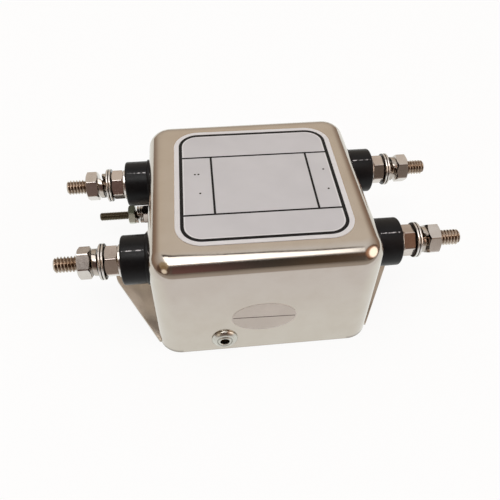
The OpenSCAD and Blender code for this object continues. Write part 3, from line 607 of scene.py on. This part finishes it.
def spring_washer(node, place, inner, thickness):
    """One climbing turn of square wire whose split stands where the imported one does."""
    bottom, top = levels(node, place)
    outer = reach(node, place)[0]
    inverse = place.inverted()
    first = min((inverse @ v.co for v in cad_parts[node].data.vertices), key=lambda p: p.z)
    start = math.atan2(first.y, first.x)
    span, lean, steps = math.radians(342), math.radians(12), 72
    bm = bmesh.new()
    corners = [(inner, 0, bottom), (outer, 0, bottom), (outer, lean, bottom + thickness),
               (inner, lean, bottom + thickness)]
    points = [(r * MM * math.cos(start + a), r * MM * math.sin(start + a), z * MM) for r, a, z in corners]
    square = bm.faces.new([bm.verts.new(point) for point in points])
    climb = (top - bottom - thickness) * MM / steps
    bmesh.ops.spin(bm, geom=[square], cent=(0, 0, 0), axis=(0, 0, 1), angle=span, steps=steps,
                   dvec=(0, 0, climb))
    bmesh.ops.remove_doubles(bm, verts=bm.verts, dist=1e-7)
    bmesh.ops.recalc_face_normals(bm, faces=bm.faces)
    return round_edges(bm, 0.12, 3, 40)


for t in TERMINALS:
    washer = spring_washer("split_washer_" + t, place_of[t], STUD_BORE_R, WIRE_T)
    finish_piece(washer, "spring_washer_" + t, spring_nickel, ["split_washer_" + t],
                 place_of[t])

# %% [markdown]
# A thin washer spreads each clamp nut's load over the face of its insulator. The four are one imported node,
# so they are turned one by one and gathered in one piece.

# %% Seat washers under the clamp nuts
SEAT_R = 4.0
seats = bmesh.new()
for t in TERMINALS:
    inner = levels("insulator_" + t, place_of[t])[1]
    outer = levels("clamp_nut_" + t, place_of[t])[0]
    gathered(seats, turned(washer_outline(STUD_BORE_R, SEAT_R, inner, outer, 0.15, True), 64), place_of[t])
finish_piece(seats, "seat_washers_pressed", washer_nickel, ["seat_washers"])

# %% [markdown]
# ## The ground stud
# The protective earth leaves the can on a thinner stud without an insulator, because it is meant to touch
# the metal. Its hardware is the terminals' in small. The stud is yellow passivated steel, its outer nut is
# dull zinc and the rest is nickel. The same four shapes make it at its own sizes: thread, nut, spring
# washer and flat washer.

# %% Build the ground stud
ground = place_of["ground"]
GROUND_WASHER_R, GROUND_NUT_BORE_R = 2.5, 1.06
bottom, tip = levels("ground_stud", ground)
seat = levels("ground_toothed_washer", ground)[0]
rod = with_head(rolled_rod(2.42, 2.1, 0.45, seat, tip, 0.35, 24), 5.0, seat, seat - bottom, 32)
finish_piece(rod, "ground_stud_threaded", ground_brass, ["ground_stud"], ground, 50)
for node, finish, slot in (("ground_clamp_nut", nut_nickel, "clamp_nut_nickel"),
                           ("ground_nut", ground_zinc, "ground_nut_zinc")):
    bottom, top = levels(node, ground)
    corner, angle = reach(node, ground)
    if node == "ground_nut":
        angle += math.radians(15)  # tightened further, so that a corner faces up and forwards
    nut = turned_by(hex_nut(corner * math.sqrt(3), bottom, top, GROUND_NUT_BORE_R, 0.1), angle)
    if node == "ground_nut":
        with_painted_shade(nut, lambda r, z, up: (up / corner - 0.68) / 0.08 * 0.7)  # painted shade darkens its upper flats, which lie under the insulator
    finish_piece(nut, node + "_formed", finish, [node], ground, 25)
for node in ("ground_lock_washer", "ground_split_washer"):
    washer = spring_washer(node, ground, GROUND_BORE_R, GROUND_WIRE_T)
    finish_piece(washer, node + "_wound", spring_nickel, [node], ground)
pair = washer_pair("ground_flat_washers", ground, GROUND_BORE_R, GROUND_WASHER_R, 0.15, 0.12, 48)
finish_piece(pair, "ground_flat_washers_pair", washer_nickel,
             ["ground_flat_washers"], ground)
bottom, top = levels("ground_seat_washer", ground)
seat_washer = turned(washer_outline(GROUND_BORE_R, GROUND_WASHER_R, bottom, top, 0.15, True), 48)
finish_piece(seat_washer, "ground_seat_washer_pressed", washer_nickel,
             ["ground_seat_washer"], ground)

# %% [markdown]
# ## Rivets
# The can is held to the base plate by two open blind rivets. From outside one sees a domed flange, a
# groove and a rolled lip round the hole that the mandrel left; a painted shade darkens the groove and the
# hole's bore. Inside, the barrel swells behind the plate. All of it is round, so one outline is spun.


# %% Set the rivets
def rivet_place(node):
    """The place on the front or back wall where a rivet's axis leaves it."""
    low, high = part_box(node)
    can_low, can_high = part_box("can")
    middle = (low + high) / 2
    side = 1 if middle.y > 0 else -1
    wall = can_high.y if side > 0 else can_low.y
    return Matrix(((side, 0, 0, middle.x), (0, 0, side, wall), (0, -1, 0, middle.z), (0, 0, 0, 1)))


HOLE_R, BARREL_R, SWELL_R, GROOVE_R = 1.15, 1.6, 2.5, 1.85
for node in ("rivet_front", "rivet_back"):
    place = rivet_place(node)
    inner, outer = levels(node, place)
    flange_r = reach(node, place)[0]
    # The swollen barrel, the flange with its dome, the groove and the rolled lip
    outline = [(HOLE_R, inner), (BARREL_R, inner), (SWELL_R, inner + 1.2), (BARREL_R, inner + 1.25),
               (BARREL_R, 0.0), (flange_r - 0.1, 0.0), (flange_r, 0.12), (flange_r, 0.32),
               (flange_r - 0.15, 0.48), (2.75, 0.82), (2.45, 1.02), (2.2, 1.10), (2.05, 1.08), (1.95, 0.98),
               (1.82, 0.94), (1.70, 1.02), (1.62, outer - 0.05), (1.5, outer - 0.01), (1.35, outer),
               (HOLE_R + 0.04, outer - 0.05), (HOLE_R, outer - 0.2)]
    # Painted shade in the groove round the lip and all through the hole's bore
    rivet = with_painted_shade(turned(outline, 72),
                   lambda r, z, up: 0.9 - abs(r - GROOVE_R) / 0.16 if r > HOLE_R + 0.01 else 1.0)
    finish_piece(rivet, node + "_set", rivet_aluminium, [node], place, 60)

# %% [markdown]
# ## Base plate
# The plate is blanked and folded from sheet, with an ear at each end for a screw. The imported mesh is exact,
# so a merged copy only needs its cut edges eased, which a press leaves slightly rolled.

# %% Ease the base plate's edges
plate = round_edges(merged_copy("base_plate"), 0.12, 2, 50)
finish_piece(plate, "base_plate_eased", plate_nickel, ["base_plate"], smooth=30)

# %% [markdown]
# ## Label and sticker
# The label is a round-cornered sheet of silver film, cut from a block whose upright edges are bevelled. It
# was stuck on by hand, a little askew.


# %% Cut the label
def rounded_sheet(width, depth, radius, bottom, top):
    """A flat sheet with round corners between two heights."""
    bm = block(bmesh.new(), (0, 0, (bottom + top) / 2), (width, depth, top - bottom))
    return bevelled(bm, uprights(bm), radius, 12)


def bar(bm, x0, y0, x1, y1, bottom, top):
    """Add a thin printed bar between two corners."""
    block(bm, ((x0 + x1) / 2, (y0 + y1) / 2, (bottom + top) / 2), (x1 - x0, y1 - y0, top - bottom))


LABEL_W, LABEL_D, LABEL_R, LABEL_SKEW, INK_T = 42, 43, 6.4, math.radians(-0.65), 0.03
low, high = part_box("top_label")
middle = (low + high) / 2
label_place = Matrix.Translation((middle.x, middle.y, 0)) @ Matrix.Rotation(LABEL_SKEW, 4, "Z")
film_top = high.z / MM - INK_T
film = rounded_sheet(LABEL_W, LABEL_D, LABEL_R, low.z / MM, film_top)
finish_piece(film, "label_film", silver_film, ["top_label"], label_place, 30)

# %% [markdown]
# Its print is a heavy frame round a greyer field, with a thinner grid that divides it into a heading, two
# terminal columns and a middle. The ink is a real layer a few hundredths of a millimetre thick, so it is
# modelled as such. The fields are left blank but for the dots that mark where the studs stand.

# %% Print its frame and field
FRAME_W, FRAME_D, FRAME_R, FRAME_LINE, GRID_LINE, FIELD_GAP = 39.5, 40.7, 5.1, 0.85, 0.55, 0.35
ROW_TOP, ROW_BOTTOM, COLUMN_LEFT, COLUMN_RIGHT = 10.2, -11.6, -11.5, 13.4
FIELD_T, GRID_T, DOT_R = 0.012, 0.026, 0.27
DOTS = ((-15.8, 3.4), (-14.9, 3.4), (-14.7, -3.9), (17.1, 3.0), (17.0, -4.6))
ink = rounded_sheet(FRAME_W, FRAME_D, FRAME_R, -INK_T / 2, INK_T / 2)
flat = [f for f in ink.faces if abs(f.normal.z) > 0.9]
bmesh.ops.inset_individual(ink, faces=flat, thickness=FRAME_LINE * MM, depth=0.0)
caps = [f for f in ink.faces if abs(f.normal.z) > 0.9 and f.calc_area() > (30 * MM) ** 2]
edges_of_caps = [e for f in caps for e in f.edges]
bmesh.ops.delete(ink, geom=caps, context="FACES_ONLY")
bmesh.ops.bridge_loops(ink, edges=edges_of_caps)
bmesh.ops.translate(ink, verts=ink.verts, vec=(0, 0, (film_top + INK_T / 2) * MM))
inset = FRAME_LINE + FIELD_GAP
field = rounded_sheet(FRAME_W - 2 * inset, FRAME_D - 2 * inset, FRAME_R - inset, film_top,
                      film_top + FIELD_T)
finish_piece(field, "label_field", silver_field, (), label_place, 30)
half_w, ink_levels = FRAME_W / 2 - 0.2, (film_top, film_top + GRID_T)
for y in (ROW_TOP, ROW_BOTTOM):
    bar(ink, -half_w, y - GRID_LINE / 2, half_w, y + GRID_LINE / 2, *ink_levels)
for x in (COLUMN_LEFT, COLUMN_RIGHT):
    bar(ink, x - GRID_LINE / 2, ROW_BOTTOM, x + GRID_LINE / 2, ROW_TOP, *ink_levels)
for x, y in DOTS:
    dot = Matrix.Translation((x * MM, y * MM, (film_top + GRID_T / 2) * MM))
    bmesh.ops.create_cone(ink, cap_ends=True, segments=20, radius1=DOT_R * MM, radius2=DOT_R * MM,
                          depth=GRID_T * MM, matrix=dot)
bmesh.ops.recalc_face_normals(ink, faces=ink.faces)
finish_piece(ink, "label_print", print_ink, (), label_place, 30)

# %% [markdown]
# The oval inspection sticker on the front carries a single printed rule. Its film is an ellipse with a
# hair of thickness, stretched from a circle.

# %% Stick on the oval
STICKER_T, RULE_W, RULE_LINE, RULE_T, RULE_TURN = 0.06, 15.2, 0.26, 0.015, math.radians(-2.1)
low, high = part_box("inspection_sticker")
middle = (low + high) / 2
oval = bmesh.new()
stretch = Matrix.Diagonal(((high.x - low.x) / 2, (high.z - low.z) / 2, 1, 1))
bmesh.ops.create_circle(oval, cap_ends=True, segments=96, radius=1, matrix=stretch)
raised = bmesh.ops.extrude_face_region(oval, geom=oval.faces[:])["geom"]
raised = [g for g in raised if isinstance(g, bmesh.types.BMVert)]
bmesh.ops.translate(oval, verts=raised, vec=(0, 0, STICKER_T * MM))
bmesh.ops.recalc_face_normals(oval, faces=oval.faces)
upright_front = Matrix.Translation((middle.x, high.y, middle.z)) @ Matrix.Rotation(math.pi / 2, 4, "X")
finish_piece(oval, "sticker_film", sticker_film, ["inspection_sticker"], upright_front, 30)
rule = block(bmesh.new(), (0, 0, STICKER_T + RULE_T / 2), (RULE_W, RULE_LINE, RULE_T))
turned_by(rule, RULE_TURN)
finish_piece(rule, "sticker_rule", sticker_ink, (), upright_front, 30)

# %% [markdown]
# ## Inside the can
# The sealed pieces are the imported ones, which already have their true forms: the two windings on their
# green ring, the capacitors, the resistor, the tags and the bushes. They get their real finishes, so that
# a cut-away looks right.

# %% Finish the inner pieces
INNER = {"inner_bush": phenolic, "solder_tag": tin_plate, "ground_tag": tin_plate,
         "ground_toothed_washer": ground_zinc, "insulating_liner": pressboard, "choke_core": ferrite_epoxy,
         "choke_divider": polyamide, "winding": copper, "x_capacitor": capacitor_yellow,
         "y_capacitor": capacitor_blue, "bleed_resistor": resistor_lacquer}
for name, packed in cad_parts.items():
    for start, finish in INNER.items():
        if name.startswith(start):
            for i in range(len(packed.material_slots)):
                packed.material_slots[i].material = finish
print("inner pieces finished:", sum(n.startswith(tuple(INNER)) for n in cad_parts))

# %% [markdown]
# ## Floor, light and camera
# Shiny metal shows its surroundings more than its own colour, so the studio matters as much as the
# plating. The floor is white paper. To the camera it glows evenly, which keeps the background clean, and a
# share of plain diffuse paper under that keeps the object's shadow. In the metal it is brightest close by
# and greyer further off, which the front of the can shows from its foot upwards.


# %% Lay the floor
def looked_at(tree, rays):
    """1 for rays from the camera, from a mirror or through clear pieces, and 0 for diffuse light."""
    seen = add(tree, "ShaderNodeMath", {0: rays["Is Camera Ray"], 1: rays["Is Glossy Ray"]},
               operation="ADD")
    return add(tree, "ShaderNodeMath", {0: seen, 1: rays["Is Transmission Ray"]}, operation="ADD",
               use_clamp=True)


PAPER_GLOW = 0.90
floor = bmesh.new()
bmesh.ops.create_grid(floor, x_segments=1, y_segments=1, size=2.0)
floor_mesh = bpy.data.meshes.new("floor")
floor.to_mesh(floor_mesh)
floor.free()
floor_piece = bpy.data.objects.new("floor", floor_mesh)
bpy.context.scene.collection.objects.link(floor_piece)
paper, tree, place = new_material("white_paper_sweep")
rays = add(tree, "ShaderNodeLightPath").outputs
lifted = add(tree, "ShaderNodeMath", {0: looked_at(tree, rays), 1: PAPER_GLOW}, operation="MULTIPLY")
matt = add(tree, "ShaderNodeBsdfDiffuse", {"Color": "#f2f1f0"})
# In the metal the paper is bright near the object and ends in a greyer table further off
paces = add(tree, "ShaderNodeSeparateXYZ", {"Vector": place}).outputs
front = add(tree, "ShaderNodeMapRange", {"Value": paces["Y"], "From Min": -0.028, "From Max": -0.60})
mirrored = ramp(tree, front, [(0.0, (1.04, 1.07, 1.045, 1.0)), (0.012, (1.03, 1.05, 1.03, 1.0)),
                              (0.035, (0.95, 0.945, 0.95, 1.0)), (0.104, (0.95, 0.945, 0.95, 1.0)),
                              (0.118, "#b9afa5"), (0.40, "#aaa096"), (1.0, "#9c9187")])
seen = add(tree, "ShaderNodeMix", {"Factor": rays["Is Glossy Ray"], 6: "#ffffff", 7: mirrored},
           data_type="RGBA")
white = add(tree, "ShaderNodeEmission", {"Color": seen, "Strength": 1.0})
sheet = add(tree, "ShaderNodeMixShader", {"Fac": lifted, 1: matt, 2: white})
add(tree, "ShaderNodeOutputMaterial", {"Surface": sheet})
floor_mesh.materials.append(paper)

# %% [markdown]
# The room is painted in the world, because only a mirror and a little fill light need it. It runs from a
# pale wall behind the object over a white ceiling to a dark wall behind the camera. A long light panel in
# the ceiling draws the bright line along the can's top edge, with the dark wall just below it. Its back
# edge is slanted, so the line narrows to the right. Small windows left and right of the camera put the
# bright spots on the can's round corners.

# %% Paint the room
world = bpy.data.worlds.new("studio")
bpy.context.scene.world = world
world.use_nodes = True
tree = world.node_tree
tree.nodes.clear()
direction = add(tree, "ShaderNodeTexCoord").outputs["Generated"]
axis = add(tree, "ShaderNodeSeparateXYZ", {"Vector": direction}).outputs
# From the wall behind the object, over the ceiling, to the wall behind the camera
over = add(tree, "ShaderNodeMath", {0: axis["Z"], 1: axis["Y"]}, operation="ARCTAN2")
over = add(tree, "ShaderNodeMath", {0: over, 1: math.pi}, operation="DIVIDE")
room = ramp(tree, over, [(0.0, "#c2b6aa"), (0.20, "#f1e4d3"), (0.42, "#fbf8f4"), (0.66, "#f4f0ec")])
# The dark wall, redder to the left of the camera and browner to its right, lighter towards the floor
along_x = add(tree, "ShaderNodeMapRange", {"Value": axis["X"], "From Min": -1.0, "From Max": 1.0})
dark = ramp(tree, along_x, [(0.30, "#786d66"), (0.43, "#75615a"), (0.47, "#7e5955"), (0.55, "#4b4945"),
                            (0.63, "#65523f"), (0.66, "#6b625b"), (0.70, "#817870")])
depth = add(tree, "ShaderNodeMapRange", {"Value": over, "From Min": 0.72, "From Max": 0.90,
                                         "To Min": 0.62, "To Max": 1.05})
dark = add(tree, "ShaderNodeVectorMath", {0: dark, "Scale": depth}, operation="SCALE")
skirting = add(tree, "ShaderNodeMapRange", {"Value": over, "From Min": 0.950, "From Max": 0.968})
dark = add(tree, "ShaderNodeMix", {"Factor": skirting, 6: dark, 7: "#94897f"}, data_type="RGBA")
behind = add(tree, "ShaderNodeMapRange", {"Value": over, "From Min": 0.665, "From Max": 0.72},
             interpolation_type="SMOOTHSTEP")
walls = add(tree, "ShaderNodeMix", {"Factor": behind, 6: room, 7: dark}, data_type="RGBA")
# The side walls
across = add(tree, "ShaderNodeMath", {0: axis["X"]}, operation="ABSOLUTE")
aside = add(tree, "ShaderNodeMapRange", {"Value": across, "From Min": 0.38, "From Max": 0.70},
            interpolation_type="SMOOTHSTEP")
sides = ramp(tree, axis["Z"], [(0.0, "#937c6c"), (0.28, "#ac9381"), (0.58, "#d0c3b7"), (1.0, "#f4f0ec")])
walls = add(tree, "ShaderNodeMix", {"Factor": aside, 6: walls, 7: sides}, data_type="RGBA")
# The ceiling's light panel: its front edge runs level, its back edge curves forwards to the right
BACK_EDGE = ((0.47, 0.394), (0.508, 0.464), (0.5575, 0.497), (0.61, 0.556), (0.643, 0.545), (0.651, 0.70))
slant = ramp(tree, along_x, [(x, (back, back, back, 1.0)) for x, back in BACK_EDGE])
past_back = add(tree, "ShaderNodeMath", {0: over, 1: slant}, operation="SUBTRACT")
rim = add(tree, "ShaderNodeMapRange", {"Value": past_back, "From Min": -0.064, "From Max": -0.046})
lit = add(tree, "ShaderNodeMapRange", {"Value": past_back, "From Min": -0.006, "From Max": 0.006})
before_front = add(tree, "ShaderNodeMapRange", {"Value": over, "From Min": 0.672, "From Max": 0.660})
from_left = add(tree, "ShaderNodeMapRange", {"Value": axis["X"], "From Min": -0.49, "From Max": -0.45})
# Its dark frame shows as a thin line along the back edge, so that goes first and the lit sheet over it
for share, colour in ((rim, "#41362e"), (lit, (2.7, 2.65, 2.6, 1.0))):
    for bound in (before_front, from_left):
        share = add(tree, "ShaderNodeMath", {0: share, 1: bound}, operation="MULTIPLY")
    walls = add(tree, "ShaderNodeMix", {"Factor": share, 6: walls, 7: colour}, data_type="RGBA")

# %% [markdown]
# A window is a soft round patch round a direction. It is given by that direction, by its inner and outer
# edge as cosines and by its colour. Each side of the camera has a dark cupboard with a small bright window
# in it.

# %% Open the windows
WINDOWS = (((0.82, -0.42, 0.44), 0.86, 0.78, "#6d5143"),
           ((0.78, -0.44, 0.52), 0.93, 0.85, "#d09c7c"),
           ((0.87, -0.38, 0.42), 0.957, 0.90, (2.5, 2.15, 1.85, 1.0)),
           ((-0.66, -0.58, 0.36), 0.93, 0.84, "#6a5244"),
           ((-0.60, -0.40, 0.68), 0.97, 0.92, "#c0ab8a"),
           ((-0.62, -0.56, 0.54), 0.985, 0.955, "#a98f6c"),
           ((-0.60, -0.70, 0.26), 0.993, 0.970, (1.35, 1.2, 1.0, 1.0)))
for toward, inner, outer, colour in WINDOWS:
    near = add(tree, "ShaderNodeVectorMath", {0: direction, 1: Vector(toward).normalized()},
               operation="DOT_PRODUCT")
    shown = add(tree, "ShaderNodeMapRange", {"Value": near, "From Min": outer, "From Max": inner},
                interpolation_type="SMOOTHSTEP")
    walls = add(tree, "ShaderNodeMix", {"Factor": shown, 6: walls, 7: colour}, data_type="RGBA")
print("windows in the room:", len(WINDOWS))
# Like the paper, the room is plain white to the camera and through clear pieces; only metal mirrors it
ROOM_LIGHT = 0.92
rays = add(tree, "ShaderNodeLightPath").outputs
fill = add(tree, "ShaderNodeVectorMath", {0: walls, "Scale": ROOM_LIGHT}, operation="SCALE")
shown = add(tree, "ShaderNodeMix", {"Factor": rays["Is Glossy Ray"], 6: "#ffffff", 7: fill},
            data_type="RGBA")
light = add(tree, "ShaderNodeMix", {"Factor": looked_at(tree, rays), 6: fill, 7: shown}, data_type="RGBA")
glow = add(tree, "ShaderNodeBackground", {"Color": light, "Strength": 1.0})
add(tree, "ShaderNodeOutputWorld", {"Surface": glow})

# %% [markdown]
# One soft lamp above and a little in front models the matt surfaces and throws the faint shadow.


# %% Hang the lamp
def soft_box(name, location, target, size_x, size_y, power, colour):
    """An area lamp at a place in metres that faces another."""
    lamp = bpy.data.lights.new(name, "AREA")
    lamp.shape, lamp.size, lamp.size_y = "RECTANGLE", size_x, size_y
    lamp.energy, lamp.color = power, linear(colour)[:3]
    made = bpy.data.objects.new(name, lamp)
    made.location = location
    made.rotation_euler = (Vector(target) - Vector(location)).to_track_quat("-Z", "Y").to_euler()
    bpy.context.scene.collection.objects.link(made)
    return made


soft_box("overhead_box", (-0.10, -0.25, 0.60), (-0.10, -0.02, 0), 0.24, 0.10, 0.40, "#ffffff")

# %% [markdown]
# The camera looks down on the front at about 45 degrees from a hand's length away, close enough for the
# near studs to look larger than the far ones.

# %% Stand the camera
camera = bpy.data.cameras.new("camera")
camera.lens, camera.sensor_width, camera.sensor_fit = 39.604, 36.0, "HORIZONTAL"
camera.clip_start, camera.clip_end = 0.01, 10.0
eye = Vector((-14.5625, -106.0515, 121.4412)) * MM
aim = Vector((-2.3082, -8.2671, 16.0)) * MM
camera_piece = bpy.data.objects.new("camera", camera)
camera_piece.rotation_mode = "QUATERNION"
turn = (aim - eye).to_track_quat("-Z", "Y")
camera_piece.rotation_quaternion = turn @ Matrix.Rotation(math.radians(1.1602), 3, "Z").to_quaternion()
camera_piece.location = eye
bpy.context.scene.collection.objects.link(camera_piece)
bpy.context.scene.camera = camera_piece
bpy.context.scene.view_settings.view_transform = "Standard"

# %% [markdown]
# The finished model may not grow beyond the imported one.
